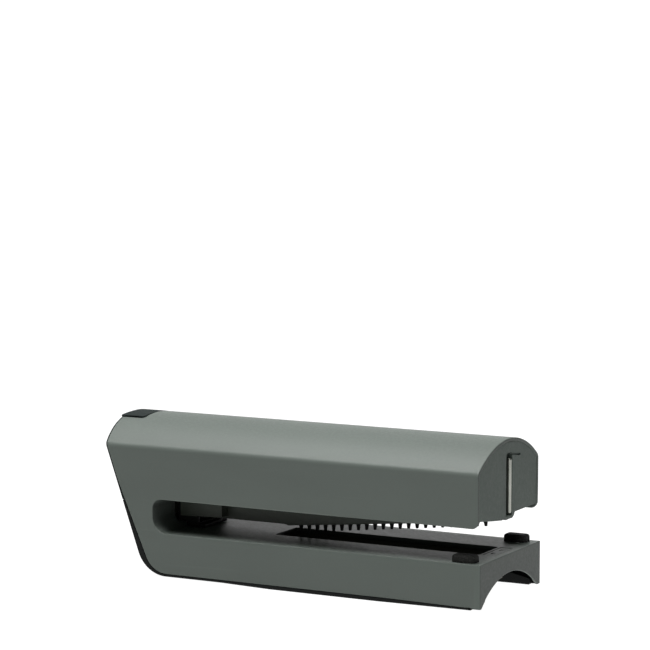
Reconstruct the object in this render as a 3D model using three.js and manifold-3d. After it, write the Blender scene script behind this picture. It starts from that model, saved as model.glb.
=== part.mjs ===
// A desk stapler with a long, low throat, as an assembly of separate pieces.
//
// Units are millimetres. +X points to the front, +Z is up, and the origin is in the middle of the
// footprint. Heights are measured from the casing's lower edge, and each piece is lifted by LIFT
// as it is placed, so that the cover below that edge stands on z = 0. The grey casing is a C seen
// from the side: a lower arm, a neck at the rear, and an upper arm with a crowned top. Pressing
// the upper arm bends the neck. Inside it, a lever turned by the base bracket drives the blade,
// and a presser with a toothed strip comes down on the sheets.

import * as THREE from 'three';
import { mergeVertices } from 'three/addons/utils/BufferGeometryUtils.js';
import Module from 'manifold-3d';

const wasm = await Module();
wasm.setup();

// ---------------------------------------------------------------- driving dimensions

const LENGTH = 184;
const WIDTH = 62;
const HEIGHT = 66.8;
const LIFT = 1; // the cover's lowest face lies this far below the casing's lower edge
const FRONT = LENGTH / 2;
const REAR = -LENGTH / 2;
const HALF = WIDTH / 2;
const FIT = 0.3; // clearance between neighbours that touch

const BASE_TOP = 18.4; // the lower arm's upper face
const BASE_WALL = 2.2;
const TOP_PLATE = 2.0;
const THROAT_END = -64.2;
const THROAT_LOW_RADIUS = 7;
const THROAT_HIGH_RADIUS = 4;
const ARM_BOTTOM = 33.2; // the upper arm's lower edge
const ARM_FRONT = 90.9;
const ARM_WALL = 1.6;
const SHOULDER = 56.3; // where the crown meets the flat side
const CROWN_RISE = HEIGHT - SHOULDER;
const CROWN_RADIUS = (HALF * HALF + CROWN_RISE * CROWN_RISE) / (2 * CROWN_RISE);
const CROWN_CENTRE = HEIGHT - CROWN_RADIUS;

const NECK_CUT = 26; // height of the bending line in the neck
const NECK_GAP = 0.8;
const COVER_TOP = 31.4; // how far the black cover climbs the neck

const CASING_FOOT = 0.7; // the casing's lower edge, which falls a little towards the front
const CASING_TOE = 0.3;
const CORNER_RADIUS = 11; // the casing's lower rear corner

const TROUGH = { rear: -15, front: 81.8, half: 9.4 };
const LINER = { rear: -18, front: 83.3, half: 12, floor: 5, sheet: 1.2 };
const ARCHWAY = { radius: 45, top: 10.4 };
const BUMPER = { x: 83.15, y: 26.05, halfLength: 5.25, halfWidth: 3.25, low: 18.65, top: 21.5 };
const PRONG = { inner: 25.4, outer: 28.4, front: 89.5 };
const ANVIL = { rear: 83.4, front: 88.6, half: 9 };
const COVER_SCREWS = { rear: -46, front: 46, y: 22 };
const FEET = { rear: -46, front: 46, y: 10.5, radius: 6 };
const PRESSER_PIN = { x: -58, z: 25, radius: 1.5 };
const LEVER_PIN = { x: -46, z: 52, radius: 1.5 };
const LEVER_FOOT = { x: -56, z: 41.8, radius: 1.5 };
const BRACKET = { half: 11.2, sheet: 1.5, screwX: -52, screwY: 5 };
const TEETH = { count: 23, pitch: 4, front: 80.5, tipWidth: 1.4, rootWidth: 2.4 };
const MAGAZINE = { rear: -34, front: 84.4, half: 8, floor: 36.4, top: 46.4 };
const BLADE = { rear: 85.4, front: 86.2, half: 6.2, tip: 44.2, top: 63.6 };
const ROD = { x: 89.75, y: 2.6, radius: 0.95, low: 34.4, high: 58 };

const ARC_STEPS = 10;
const ROUND_STEPS = 20;

// ---------------------------------------------------------------- solids

function toSolid(geometry) {
  const plain = geometry.clone();
  plain.deleteAttribute('normal');
  plain.deleteAttribute('uv');
  const merged = mergeVertices(plain, 1e-4);
  return new wasm.Manifold(new wasm.Mesh({
    numProp: 3,
    vertProperties: new Float32Array(merged.attributes.position.array),
    triVerts: new Uint32Array(merged.index.array),
  }));
}

function toGeometry(solid) {
  const mesh = solid.getMesh();
  const geometry = new THREE.BufferGeometry();
  geometry.setAttribute('position', new THREE.BufferAttribute(mesh.vertProperties, 3));
  geometry.setIndex(new THREE.BufferAttribute(mesh.triVerts, 1));
  geometry.computeVertexNormals();
  return geometry;
}

const join = (first, ...rest) => rest.reduce((whole, piece) => whole.add(piece), first);
const cut = (first, ...rest) => rest.reduce((whole, piece) => whole.subtract(piece), first);
const common = (first, ...rest) => rest.reduce((whole, piece) => whole.intersect(piece), first);

// A closed outline through the corners. A third number rounds that corner to this radius.
function outline(corners) {
  const shape = new THREE.Shape();
  const count = corners.length;
  corners.forEach(([x, y, radius = 0], index) => {
    const corner = new THREE.Vector2(x, y);
    const goTo = (point) => (index === 0 ? shape.moveTo(point.x, point.y) : shape.lineTo(point.x, point.y));
    if (radius === 0) {
      goTo(corner);
      return;
    }
    const [beforeX, beforeY] = corners[(index + count - 1) % count];
    const [afterX, afterY] = corners[(index + 1) % count];
    const before = new THREE.Vector2(beforeX, beforeY).sub(corner).normalize();
    const after = new THREE.Vector2(afterX, afterY).sub(corner).normalize();
    const halfAngle = Math.acos(before.dot(after)) / 2;
    const reach = radius / Math.tan(halfAngle);
    const start = corner.clone().addScaledVector(before, reach);
    const end = corner.clone().addScaledVector(after, reach);
    const inward = before.clone().add(after).normalize();
    const centre = corner.clone().addScaledVector(inward, radius / Math.sin(halfAngle));
    goTo(start);
    const from = start.clone().sub(centre).angle();
    const to = end.clone().sub(centre).angle();
    shape.absarc(centre.x, centre.y, radius, from, to, before.cross(after) > 0);
  });
  return shape;
}

const extrude = (shape, depth) => new THREE.ExtrudeGeometry(shape, {
  depth,
  bevelEnabled: false,
  curveSegments: ARC_STEPS,
});

// A prism with its outline in the XZ plane, from y0 to y1.
function sidePrism(shape, y0, y1) {
  const geometry = extrude(shape, y1 - y0);
  geometry.rotateX(Math.PI / 2);
  geometry.translate(0, y1, 0);
  return toSolid(geometry);
}

// A prism with its outline in the YZ plane, from x0 to x1.
function frontPrism(shape, x0, x1) {
  const geometry = extrude(shape, x1 - x0);
  const turn = new THREE.Matrix4().makeBasis(
    new THREE.Vector3(0, 1, 0),
    new THREE.Vector3(0, 0, 1),
    new THREE.Vector3(1, 0, 0),
  );
  geometry.applyMatrix4(turn);
  geometry.translate(x0, 0, 0);
  return toSolid(geometry);
}

// A prism with its outline in the XY plane, from z0 to z1.
function planPrism(shape, z0, z1) {
  const geometry = extrude(shape, z1 - z0);
  geometry.translate(0, 0, z0);
  return toSolid(geometry);
}

function box(x0, x1, y0, y1, z0, z1) {
  const geometry = new THREE.BoxGeometry(x1 - x0, y1 - y0, z1 - z0);
  geometry.translate((x0 + x1) / 2, (y0 + y1) / 2, (z0 + z1) / 2);
  return toSolid(geometry);
}

// A round bar along the named axis, from one end to the other, through (a, b) on the other axes.
function bar(axis, a, b, radius, from, to, steps = ROUND_STEPS) {
  const geometry = new THREE.CylinderGeometry(radius, radius, to - from, steps);
  const middle = (from + to) / 2;
  if (axis === 'x') {
    geometry.rotateZ(Math.PI / 2);
    geometry.translate(middle, a, b);
  } else if (axis === 'y') {
    geometry.translate(a, middle, b);
  } else {
    geometry.rotateX(Math.PI / 2);
    geometry.translate(a, b, middle);
  }
  return toSolid(geometry);
}

// A turned piece about +Z. The profile is a list of [radius, height] from axis to axis.
function turned(profile, steps = ROUND_STEPS) {
  const points = profile.map(([radius, height]) => new THREE.Vector2(radius, height));
  const geometry = new THREE.LatheGeometry(points, steps);
  geometry.rotateX(Math.PI / 2);
  return toSolid(geometry);
}

// ---------------------------------------------------------------- shared outlines

// The rear face leans back with height: its outer line, and the line where the grey ends under
// the black cover.
const REAR_LEAN = 0.3547;
const rearOuter = (z) => REAR + (HEIGHT - z) * REAR_LEAN;
const rearGrey = (z) => -70.6 + (14 - z) * 0.4385;

// The upper arm's section, moved in by an inset: flat sides and a crown arc.
function archOutline(inset, low) {
  const half = HALF - inset;
  const radius = CROWN_RADIUS - inset;
  const reach = Math.asin(half / radius);
  const shape = new THREE.Shape();
  shape.moveTo(-half, low);
  shape.lineTo(half, low);
  shape.absarc(0, CROWN_CENTRE, radius, Math.PI / 2 - reach, Math.PI / 2 + reach, false);
  return shape;
}

const arch = (inset, low, x0 = REAR - 8, x1 = FRONT + 8) => frontPrism(archOutline(inset, low), x0, x1);

// The notch in the rear of the crown, seen from above, moved in by an inset.
function notchOutline(inset) {
  const half = 10.3 - inset;
  const front = -80.2 - inset;
  return outline([
    [REAR - 6, -half],
    [front, -half, 1.5],
    [front, half, 1.5],
    [REAR - 6, half],
  ]);
}

const throatOpening = box(-75, -59.5, -12, 12, 20.4, 36);

// ---------------------------------------------------------------- base

function casingBase() {
  const side = outline([
    [FRONT, CASING_TOE],
    [FRONT, BASE_TOP],
    [THROAT_END, BASE_TOP, THROAT_LOW_RADIUS],
    [THROAT_END, NECK_CUT - NECK_GAP / 2],
    [rearGrey(NECK_CUT - NECK_GAP / 2), NECK_CUT - NECK_GAP / 2],
    [rearGrey(CASING_FOOT), CASING_FOOT, CORNER_RADIUS],
    [50, CASING_FOOT],
    [86, CASING_TOE],
  ]);
  const inner = HALF - BASE_WALL;
  const underside = box(REAR - 8, FRONT - BASE_WALL, -inner, inner, -5, BASE_TOP - TOP_PLATE);
  const neckHollow = box(REAR - 8, THROAT_END - BASE_WALL, -inner, inner, -5, NECK_CUT + 4);
  const trough = box(TROUGH.rear, TROUGH.front, -TROUGH.half, TROUGH.half, 10, 20);
  const archway = bar('x', 0, ARCHWAY.top - ARCHWAY.radius, ARCHWAY.radius, 80, FRONT + 2, 72);
  const pocket = box(ANVIL.rear - FIT, ANVIL.front + FIT, -ANVIL.half - FIT, ANVIL.half + FIT, 17.2, 20);
  let body = cut(sidePrism(side, -HALF, HALF), underside, neckHollow, trough, archway, throatOpening, pocket);
  for (const hand of [-1, 1]) {
    for (const x of [COVER_SCREWS.rear, COVER_SCREWS.front]) {
      body = join(body, bar('z', x, hand * COVER_SCREWS.y, 3.2, 3, 16.8));
      body = cut(body, bar('z', x, hand * COVER_SCREWS.y, 1.6, 2, 13.5));
    }
    body = cut(body, bar('z', BUMPER.x, hand * BUMPER.y, 2.3, 10, 20));
    body = cut(body, bar('z', BRACKET.screwX, hand * BRACKET.screwY, 1.6, 10, 20));
  }
  return body;
}

// Where the cover's lower face runs: highest under the neck, lowest under the middle.
const coverFoot = [[45, -LIFT], [-8, -LIFT], [-30, -0.4]];

function bottomCover() {
  const seam = CASING_FOOT - FIT;
  const side = outline([
    [87, -0.55],
    ...coverFoot,
    [rearOuter(-0.4), -0.4, 14.6],
    [rearOuter(COVER_TOP), COVER_TOP],
    [rearGrey(COVER_TOP) - 0.4, COVER_TOP],
    [rearGrey(seam) - 0.4, seam, CORNER_RADIUS + 0.3],
    [50, seam],
    [87, 0],
  ]);
  const plate = outline([[62, -0.83], ...coverFoot, [-56, -0.4], [-56, 1.4], [62, 1.4]]);
  let body = join(sidePrism(side, -HALF, HALF), sidePrism(plate, -28.2, 28.2));
  body = cut(
    body,
    box(60, FRONT + 2, -19.5, 19.5, -2, 8),
    box(63, FRONT + 2, -28.2, 28.2, -2, 8),
  );
  const prong = outline([[56, -0.8], [60, 0], [PRONG.front, 0], [PRONG.front, 2.75], [81.3, 4.5], [56, 4.5]]);
  for (const hand of [-1, 1]) {
    const between = (inner, outer) => [inner * hand, outer * hand].sort((low, high) => low - high);
    body = join(body, sidePrism(prong, ...between(PRONG.inner, PRONG.outer)));
    body = join(body, box(-50, 57, ...between(26.2, 27.8), 1, 5));
    for (const x of [COVER_SCREWS.rear, COVER_SCREWS.front]) {
      body = cut(body, bar('z', x, hand * COVER_SCREWS.y, 3.3, -2, 0.6));
      body = cut(body, bar('z', x, hand * COVER_SCREWS.y, 1.7, -1, 4));
    }
    for (const x of [FEET.rear, FEET.front]) {
      body = cut(body, bar('z', x, hand * FEET.y, FEET.radius + FIT, -2, 0.4));
    }
  }
  return body;
}

function troughLiner() {
  const { rear, front, half, floor, sheet } = LINER;
  return cut(
    box(rear, front, -half, half, floor, BASE_TOP - TOP_PLATE - FIT),
    box(rear + sheet, front - sheet, -half + sheet, half - sheet, floor + sheet, 20),
  );
}

function anvilPlate() {
  let plate = box(ANVIL.rear, ANVIL.front, -ANVIL.half, ANVIL.half, 17.5, BASE_TOP - 0.1);
  for (const hand of [-1, 1]) {
    plate = cut(plate, box(85, 87, hand * 4.2 - 2.2, hand * 4.2 + 2.2, 17.9, 20));
  }
  return plate;
}

// A rounded pad, long from front to rear, with a stem below.
function bumper() {
  const slab = (inset, low, high) => {
    const x = BUMPER.halfLength - inset;
    const y = BUMPER.halfWidth - inset;
    const radius = 1.8 - inset;
    return planPrism(outline([[-x, -y, radius], [x, -y, radius], [x, y, radius], [-x, y, radius]]), low, high);
  };
  const pad = wasm.Manifold.hull([
    slab(0.2, BUMPER.low, 19),
    slab(0, 19.1, 20.2),
    slab(0.4, 20.8, 21.1),
    slab(1.1, 21.3, BUMPER.top),
  ]);
  return join(pad, bar('z', 0, 0, 2, 15.2, 19));
}

const screw = (headRadius, headHeight, length) => turned([
  [0, 0], [headRadius, 0], [headRadius, headHeight], [1.3, headHeight], [1.3, length], [0, length],
], 14);

const footPad = () => turned([[0, 0], [5.6, 0], [FEET.radius, 0.4], [FEET.radius, 1.1], [0, 1.1]]);

function hingeBracket() {
  const side = outline([
    [-46.5, 18.7],
    [-46.5, 24, 2],
    [-51, 31],
    [-53, 40],
    [-59, 40],
    [-63, 31],
    [-63, 21.5],
    [-58.6, 20.6],
    [-58.6, 18.7],
  ]);
  const inside = BRACKET.half - BRACKET.sheet;
  let body = cut(sidePrism(side, -BRACKET.half, BRACKET.half), box(-70, -40, -inside, inside, 20.2, 45));
  body = cut(body, bar('y', PRESSER_PIN.x, PRESSER_PIN.z, 1.8, -20, 20));
  for (const hand of [-1, 1]) {
    body = cut(body, bar('z', BRACKET.screwX, hand * BRACKET.screwY, 1.6, 10, 22));
  }
  return body;
}

const presserPin = () => join(
  bar('y', PRESSER_PIN.x, PRESSER_PIN.z, PRESSER_PIN.radius, -12.9, 13),
  bar('y', PRESSER_PIN.x, PRESSER_PIN.z, 2.6, -13, -11.6),
);

const pinClip = () => cut(
  bar('y', PRESSER_PIN.x, PRESSER_PIN.z, 2.8, 11.6, 12.4),
  bar('y', PRESSER_PIN.x, PRESSER_PIN.z, 1.8, 11, 13),
);

const neckSpring = (hand) => sidePrism(
  outline([[-70.2, 14], [-69.4, 14], [-69.4, 46], [-70.2, 46]]),
  hand * 20 - 5,
  hand * 20 + 5,
);

// ---------------------------------------------------------------- presser

const toothRoot = (x) => 30.6 + 0.1 * (x - 80.3);
const toothTip = (x) => 28.7 + 0.1155 * (x - 80.3);

function presserArm() {
  const half = 6.5;
  const sheet = 1.4;
  const rise = 0.8; // the channel's floor lies this far above the teeth's roots
  const foot = -10.5;
  const end = 80.6;
  const side = outline([
    [-69, 21.4],
    [-12, 21.4],
    [foot, toothRoot(foot) + rise],
    [end, toothRoot(end) + rise],
    [end, 32.9],
    [foot, 31.5],
    [-50, 31.5],
    [-69, 29.5],
  ]);
  const inside = outline([
    [-67.6, 22.8],
    [-12, 22.8],
    [foot, toothRoot(foot) + rise + sheet],
    [end - sheet, toothRoot(end - sheet) + rise + sheet],
    [end - sheet, 40],
    [-67.6, 40],
  ]);
  return cut(
    sidePrism(side, -half, half),
    sidePrism(inside, -half + sheet, half - sheet),
    box(-9.9, 79, -0.8, 0.8, 15, 40),
    bar('y', PRESSER_PIN.x, PRESSER_PIN.z, 1.8, -20, 20),
  );
}

function toothedStrip() {
  const rear = -9.5;
  const front = 81.15;
  const corners = [[rear, toothRoot(rear)]];
  for (let i = TEETH.count - 1; i >= 0; i -= 1) {
    const x = TEETH.front - i * TEETH.pitch;
    const root = TEETH.rootWidth / 2;
    const tip = TEETH.tipWidth / 2;
    corners.push([x - root, toothRoot(x)]);
    corners.push([x - tip, toothRoot(x) - 0.8]);
    corners.push([x - tip, toothTip(x)]);
    corners.push([x + tip, toothTip(x)]);
    if (i > 0) {
      corners.push([x + tip, toothRoot(x) - 0.8]);
      corners.push([x + root, toothRoot(x)]);
    }
  }
  const web = 78.6;
  corners.push([front, toothRoot(front) + 0.5]);
  corners.push([web, toothRoot(web) + 0.5]);
  corners.push([web, toothRoot(web) + 2.4]);
  corners.push([rear, toothRoot(rear) + 3.4]);
  return sidePrism(outline(corners), -0.5, 0.5);
}

// ---------------------------------------------------------------- upper arm

function casingArm() {
  const cutLine = NECK_CUT + NECK_GAP / 2;
  const top = HEIGHT + 3;
  const side = outline([
    [THROAT_END, cutLine],
    [THROAT_END, ARM_BOTTOM, THROAT_HIGH_RADIUS],
    [ARM_FRONT, ARM_BOTTOM, 3.2],
    [ARM_FRONT, top],
    [rearOuter(top), top],
    [rearOuter(32), 32],
    [rearGrey(32), 32],
    [rearGrey(cutLine), cutLine],
  ]);
  const wallTop = ARM_BOTTOM + 2.2;
  const wallRear = THROAT_END - BASE_WALL;
  const wallFront = THROAT_END + THROAT_HIGH_RADIUS;
  const throatWall = box(wallRear, wallFront, -HALF, HALF, 20, wallTop);
  return cut(
    common(arch(0, 20), sidePrism(side, -HALF - 1, HALF + 1)),
    cut(arch(ARM_WALL, 15), throatWall),
    throatOpening,
    planPrism(notchOutline(0), SHOULDER + 2, HEIGHT + 5),
  );
}

function rearEndCap() {
  const low = 32.6;
  const high = HEIGHT + 3;
  const inset = 0.9;
  const sheet = 1.8;
  const slab = outline([
    [rearOuter(low) + inset, low],
    [rearOuter(low) + inset + sheet, low],
    [rearOuter(high) + inset + sheet, high],
    [rearOuter(high) + inset, high],
  ]);
  const panel = common(arch(ARM_WALL + FIT, low - 1), sidePrism(slab, -HALF, HALF));
  const behind = outline([
    [rearOuter(50), 50],
    [-60, 50],
    [-60, high],
    [rearOuter(high), high],
  ]);
  const tongue = common(
    cut(arch(0, 40), arch(3.4, 35)),
    planPrism(notchOutline(FIT), SHOULDER + 2, HEIGHT + 5),
    sidePrism(behind, -HALF, HALF),
  );
  return join(panel, tongue);
}

function frontPlate() {
  const back = 87.6;
  const face = 90;
  const edge = ARM_WALL + FIT;
  const lowerEdge = outline([
    [-HALF, 36.2],
    [-15, 34.1],
    [-5, 32.9],
    [-2.5, 33.2],
    [-1.5, 32.5, 0.4],
    [5.6, 32.4, 0.8],
    [7.2, 33.2],
    [8.2, 34.6],
    [HALF, 34.7],
    [HALF, HEIGHT + 2],
    [-HALF, HEIGHT + 2],
  ]);
  return cut(
    common(arch(edge, 30, back, face), frontPrism(lowerEdge, back - 1, face + 1)),
    box(face - 1.5, face + 1, -1, 3.9, ROD.low - 0.4, 60.2),
    box(face - 0.8, face + 1, 5, 13, 58.4, 59.4),
  );
}

const guideRod = () => toSolid(
  new THREE.CapsuleGeometry(ROD.radius, ROD.high - ROD.low - 2 * ROD.radius, 4, 12).rotateX(Math.PI / 2),
);

function armChassis() {
  const half = HALF - ARM_WALL - 0.5;
  const channel = MAGAZINE.half + 0.6;
  let body = box(-58, 84, -half, half, 35, 36.6);
  body = cut(body, box(-70, -44, -12.6, 12.6, 30, 40), box(-36, 90, -channel, channel, 30, 40));
  const bulkhead = arch(ARM_WALL + 0.5, 36, 78, 79.6);
  body = join(body, cut(bulkhead, box(70, 90, -channel, channel, 30, 80)));
  for (const hand of [-1, 1]) {
    const edges = [hand * channel, hand * (channel + 1.6)];
    body = join(body, box(-36, 84, Math.min(...edges), Math.max(...edges), 36, MAGAZINE.top));
  }
  return body;
}

const magazineChannel = () => cut(
  box(MAGAZINE.rear, MAGAZINE.front, -MAGAZINE.half, MAGAZINE.half, MAGAZINE.floor, MAGAZINE.top),
  box(MAGAZINE.rear + 1, FRONT, -MAGAZINE.half + 1, MAGAZINE.half - 1, MAGAZINE.floor + 1, 60),
);

const stapleRail = () => cut(
  box(-32, 83.4, -5.5, 5.5, 37.8, 42.6),
  box(-40, 90, -4.7, 4.7, 30, 41.8),
);

const stapleStrip = () => cut(
  box(24, 85, -6.45, 6.45, 37.7, 43.6),
  box(20, 90, -5.85, 5.85, 30, 42.9),
);

const pusher = () => join(
  cut(box(14, 23.6, -6.4, 6.4, 37.8, 45.4), box(10, 30, -5.85, 5.85, 30, 42.95)),
  box(16, 20, -2, 2, 45, 46.6),
);

const leverBracket = () => cut(
  box(-52, -40, -8, 8, 48.5, 64.4),
  box(-60, -30, -4, 4, 40, 62.8),
  box(-60, -30, 5.4, 10, 40, 62.8),
  box(-60, -30, -10, -5.4, 40, 62.8),
  bar('y', LEVER_PIN.x, LEVER_PIN.z, 1.8, -20, 20),
);

function driverLever() {
  const side = outline([
    [-60.4, 39.2, 3],
    [-52.6, 39.2, 3],
    [-41, 48.6, 4],
    [84.2, 59.9],
    [84.2, 62.3],
    [-41, 56],
    [-52, 55, 4],
  ]);
  return cut(
    join(sidePrism(side, -3, 3), box(84, 86.8, -2.2, 2.2, 60, 61.7)),
    bar('y', LEVER_PIN.x, LEVER_PIN.z, 1.8, -20, 20),
    bar('y', LEVER_FOOT.x, LEVER_FOOT.z, 1.8, -20, 20),
  );
}

const driverBlade = () => cut(
  box(BLADE.rear, BLADE.front, -BLADE.half, BLADE.half, BLADE.tip, BLADE.top),
  box(80, 90, -3, 3, 59.2, 62.5),
);

function leafSpring() {
  const sheet = 0.5;
  const upper = [[-30, 35.8], [-16, 34.6], [-4, 30.6], [5, 27.8], [14, 29.4]];
  const lower = upper.map(([x, z]) => [x, z - sheet]).reverse();
  return sidePrism(outline([...upper, ...lower]), -3, 3);
}

// A coil along +X from zero to the length.
class Coil extends THREE.Curve {
  constructor(radius, length, turns) {
    super();
    this.radius = radius;
    this.length = length;
    this.turns = turns;
  }

  getPoint(t) {
    const angle = t * this.turns * Math.PI * 2;
    return new THREE.Vector3(t * this.length, this.radius * Math.cos(angle), this.radius * Math.sin(angle));
  }
}

function pusherSpring() {
  const turns = 11;
  const wire = outline([[-0.25, -0.2], [0.25, -0.2], [0.25, 0.2], [-0.25, 0.2]]);
  return toSolid(new THREE.ExtrudeGeometry(wire, {
    steps: turns * 9,
    extrudePath: new Coil(1.15, 46, turns),
  }));
}

// ---------------------------------------------------------------- materials

const finish = (name, color, roughness, metalness) => new THREE.MeshStandardMaterial({
  name, color, roughness, metalness,
});

const GREY = finish('grey_casing', 0x666d67, 0.5, 0);
const DARK_GREY = finish('dark_grey_plastic', 0x4c534e, 0.55, 0);
const BLACK = finish('black_plastic', 0x17191a, 0.5, 0);
const RUBBER = finish('black_rubber', 0x0f1010, 0.85, 0);
const STEEL = finish('bright_steel', 0xb9bcbd, 0.3, 1);
const DARK_STEEL = finish('black_steel', 0x2a2c2e, 0.4, 1);
const ANVIL_STEEL = finish('grey_plated_steel', 0x767c78, 0.4, 0.8);

// ---------------------------------------------------------------- assembly

const stapler = new THREE.Group();

function add(name, solid, material, [x, y, z] = [0, 0, 0]) {
  const mesh = new THREE.Mesh(toGeometry(solid), material);
  mesh.name = name;
  mesh.position.set(x, y, z + LIFT);
  stapler.add(mesh);
}

const sides = [['right', -1], ['left', 1]];
const ends = ['rear', 'front'];

add('casing_base', casingBase(), GREY);
add('bottom_cover', bottomCover(), BLACK);
add('trough_liner', troughLiner(), BLACK);
add('anvil_plate', anvilPlate(), ANVIL_STEEL);
add('hinge_bracket', hingeBracket(), DARK_STEEL);
add('presser_pin', presserPin(), STEEL);
add('presser_pin_clip', pinClip(), STEEL);
for (const [hand, sign] of sides) {
  add(`bumper_${hand}`, bumper(), RUBBER, [BUMPER.x, sign * BUMPER.y, 0]);
  add(`neck_spring_${hand}`, neckSpring(sign), STEEL);
  add(`bracket_screw_${hand}`, screw(2.6, 1.6, 5.4), STEEL, [BRACKET.screwX, sign * BRACKET.screwY, 14.5]);
  for (const end of ends) {
    add(`cover_screw_${end}_${hand}`, screw(2.9, 1.2, 12), STEEL,
      [COVER_SCREWS[end], sign * COVER_SCREWS.y, -0.7]);
    add(`foot_pad_${end}_${hand}`, footPad(), RUBBER, [FEET[end], sign * FEET.y, -LIFT]);
  }
}

add('presser_arm', presserArm(), BLACK);
add('toothed_strip', toothedStrip(), BLACK);

add('casing_arm', casingArm(), GREY);
add('rear_end_cap', rearEndCap(), BLACK);
add('front_plate', frontPlate(), DARK_GREY);
add('guide_rod', guideRod(), STEEL, [ROD.x, ROD.y, (ROD.low + ROD.high) / 2]);
add('arm_chassis', armChassis(), BLACK);
add('magazine_channel', magazineChannel(), STEEL);
add('staple_rail', stapleRail(), STEEL);
add('staple_strip', stapleStrip(), STEEL);
add('pusher', pusher(), BLACK);
add('pusher_spring', pusherSpring(), STEEL, [-32.6, 0, 44.4]);
add('presser_leaf_spring', leafSpring(), STEEL);
add('lever_bracket', leverBracket(), DARK_STEEL);
add('lever_pin', bar('y', LEVER_PIN.x, LEVER_PIN.z, LEVER_PIN.radius, -6.6, 6.6), STEEL);
add('driver_lever', driverLever(), DARK_STEEL);
add('lever_foot', bar('y', LEVER_FOOT.x, LEVER_FOOT.z, LEVER_FOOT.radius, -11.6, 11.6), STEEL);
add('driver_blade', driverBlade(), STEEL);

export default stapler;
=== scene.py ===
"""The stapler's looks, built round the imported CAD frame.

Shapes are worked out in millimetres, with heights measured from the casing's lower edge. When a
piece is finished it is lifted by LIFT, so that the cover below that edge stands on the floor, and
turned into metres.
"""
import math

import bmesh
import bpy
from mathutils import Matrix, Vector


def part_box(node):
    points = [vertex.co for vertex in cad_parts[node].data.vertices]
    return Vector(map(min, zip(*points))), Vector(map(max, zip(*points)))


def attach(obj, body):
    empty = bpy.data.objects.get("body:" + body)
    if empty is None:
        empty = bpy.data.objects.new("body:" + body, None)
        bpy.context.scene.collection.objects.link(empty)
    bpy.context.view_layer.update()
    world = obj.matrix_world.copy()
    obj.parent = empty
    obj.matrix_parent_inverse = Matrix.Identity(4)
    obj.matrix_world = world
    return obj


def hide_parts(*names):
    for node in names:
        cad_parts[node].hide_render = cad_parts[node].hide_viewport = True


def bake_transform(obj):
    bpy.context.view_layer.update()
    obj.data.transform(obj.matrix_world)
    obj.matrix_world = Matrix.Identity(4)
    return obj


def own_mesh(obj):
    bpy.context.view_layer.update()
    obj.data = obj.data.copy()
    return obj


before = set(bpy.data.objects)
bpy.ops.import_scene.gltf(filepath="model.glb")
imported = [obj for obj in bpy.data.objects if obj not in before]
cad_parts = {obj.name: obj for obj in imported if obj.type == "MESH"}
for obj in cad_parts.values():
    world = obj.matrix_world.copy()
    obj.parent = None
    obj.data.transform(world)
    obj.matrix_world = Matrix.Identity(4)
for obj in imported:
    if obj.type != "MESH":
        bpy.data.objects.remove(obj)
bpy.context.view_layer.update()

SCENE = bpy.context.scene
MM = 0.001
LIFT = 1.0  # how far the cover bulges below the casing's edge


def mm_box(node):
    """A CAD node's lowest and highest corner, in millimetres above the casing's lower edge."""
    low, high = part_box(node)
    lift = Vector((0, 0, LIFT))
    return low / MM - lift, high / MM - lift


# ---------------------------------------------------------------- sizes, in millimetres

base_high = mm_box("casing_base")[1]
arm_high = mm_box("casing_arm")[1]
plate_low = mm_box("front_plate")[0]
cover_low = mm_box("bottom_cover")[0]
rod_low = mm_box("guide_rod")[0]
liner_low, liner_high = mm_box("trough_liner")
anvil_low, anvil_high = mm_box("anvil_plate")

HALF = base_high.y
FRONT = base_high.x
REAR = -FRONT
HEIGHT = arm_high.z
ARM_FRONT = arm_high.x
BASE_TOP = anvil_high.z + 0.1
ARM_BOTTOM = 33.2
BASE_WALL = 2.2
TOP_PLATE = 2.0
ARM_WALL = 1.45
THROAT_END = -64.2
THROAT_LOW_RADIUS = 7.0
THROAT_HIGH_RADIUS = 4.0
SHOULDER = 55.9
SHOULDER_RADIUS = 3.0
CROWN_RISE = HEIGHT - SHOULDER
CROWN_RADIUS = (HALF ** 2 + CROWN_RISE ** 2) / (2 * CROWN_RISE)
CROWN_CENTRE = HEIGHT - CROWN_RADIUS
REAR_LEAN = 0.3547
FLANGE = 0.45  # how far the end cap's flange stands behind the grey
MERGE = 41.0  # above this height the black at the rear is only as thick as the flange
SPLIT = 31.75  # where the black rear passes from the cover to the end cap
CASING_FOOT = 0.7
CASING_TOE = 0.3
CORNER_RADIUS = 11
SAG = 0.0016  # the upper arm's droop towards the front, per millimetre
TWIST = 0.0035  # and how much lower its left edge hangs
NECK_LOW, NECK_HIGH = 18.8, 33.0
EDGE = 0.45  # rounding of the casing's moulded edges
FAR = 120.0  # past every face of the object
PIN = (-58, 25)  # the presser's pin, as (x, z)
ARCH_CENTRE = (-0.8, -34.6)  # the archway in the base's front wall, as (y, z)
ARCH_RADIUS = 45
REBATE = 3.5  # how much wider the step behind the archway is
FOOT_STATIONS = (-46, 46)  # where the screws and pads stand along the base
SCREW_OUT, PAD_OUT = 22, 10.5  # and how far they stand from its middle
GRIP_HEIGHTS = (38.5, 41.5, 44.5, 47.5)  # the grip lines in the end cap

# ---------------------------------------------------------------- mesh tools


def rear_outer(z):
    """The rear face's outer line."""
    return REAR + (HEIGHT - z) * REAR_LEAN


def rear_grey(z):
    """Where the grey ends in front of the black rear."""
    return -70.6 + (14 - z) * 0.4385 if z < MERGE else rear_outer(z) + FLANGE


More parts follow.
